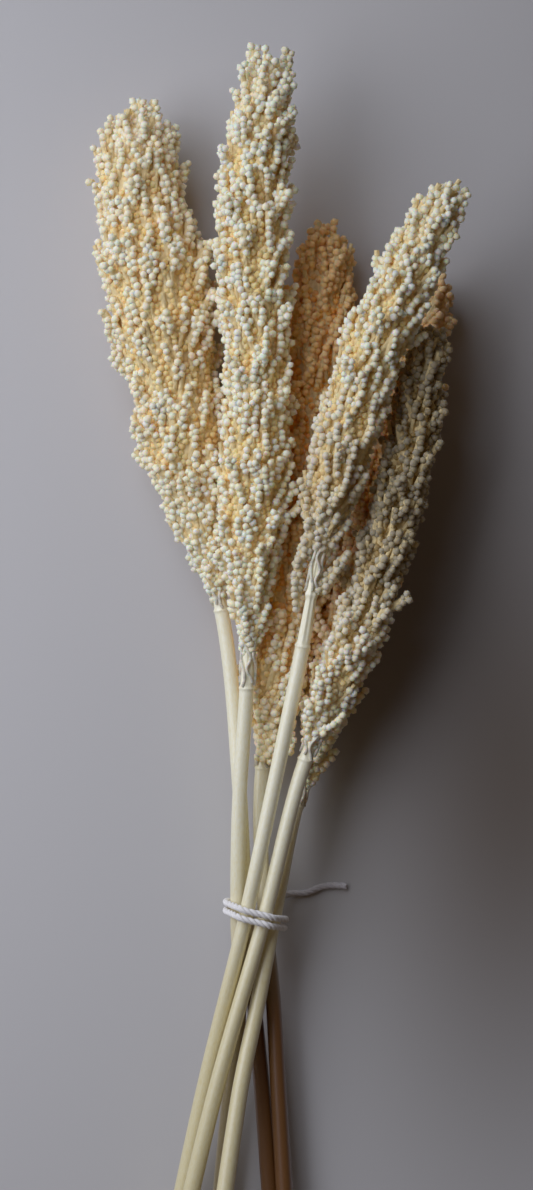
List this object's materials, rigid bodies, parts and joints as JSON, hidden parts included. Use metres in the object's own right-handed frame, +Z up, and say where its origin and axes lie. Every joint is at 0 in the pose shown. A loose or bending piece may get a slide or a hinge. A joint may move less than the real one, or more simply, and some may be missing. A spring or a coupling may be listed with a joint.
{
  "type": "tied bunch of dried sorghum stems",
  "caption": "Dried sorghum stems lying down, tied at their crossing with white cord: long grain-covered heads on smooth round stalks, fanned out above the tie.",
  "frame": {"origin": "middle of the lying bunch's footprint, on the surface it lies on", "axes": "+Z up from the surface, +Y along the bunch towards the tips of its heads, +X to the right seen from above"},
  "size_m": [0.166, 0.6038, 0.0758],
  "materials": {
    "grain": "bleached dried grain husks, matte, cream with straw in the hollows",
    "stalk": "bleached dried grass stalk, smooth, satin, finely striated",
    "cord": "soft white twisted cotton cord, matte"
  },
  "bodies": {
    "root": {"head_left": "grain", "head_centre": "grain", "head_back": "grain", "head_right_front": "grain", "head_right_low": "grain", "head_right_under": "grain", "stalk_left": "stalk", "stalk_centre": "stalk", "stalk_back": "stalk", "stalk_right_front": "stalk", "stalk_right_low": "stalk", "stalk_right_under": "stalk", "tie": "cord", "tie_tail": "cord"}
  },
  "joints": []
}
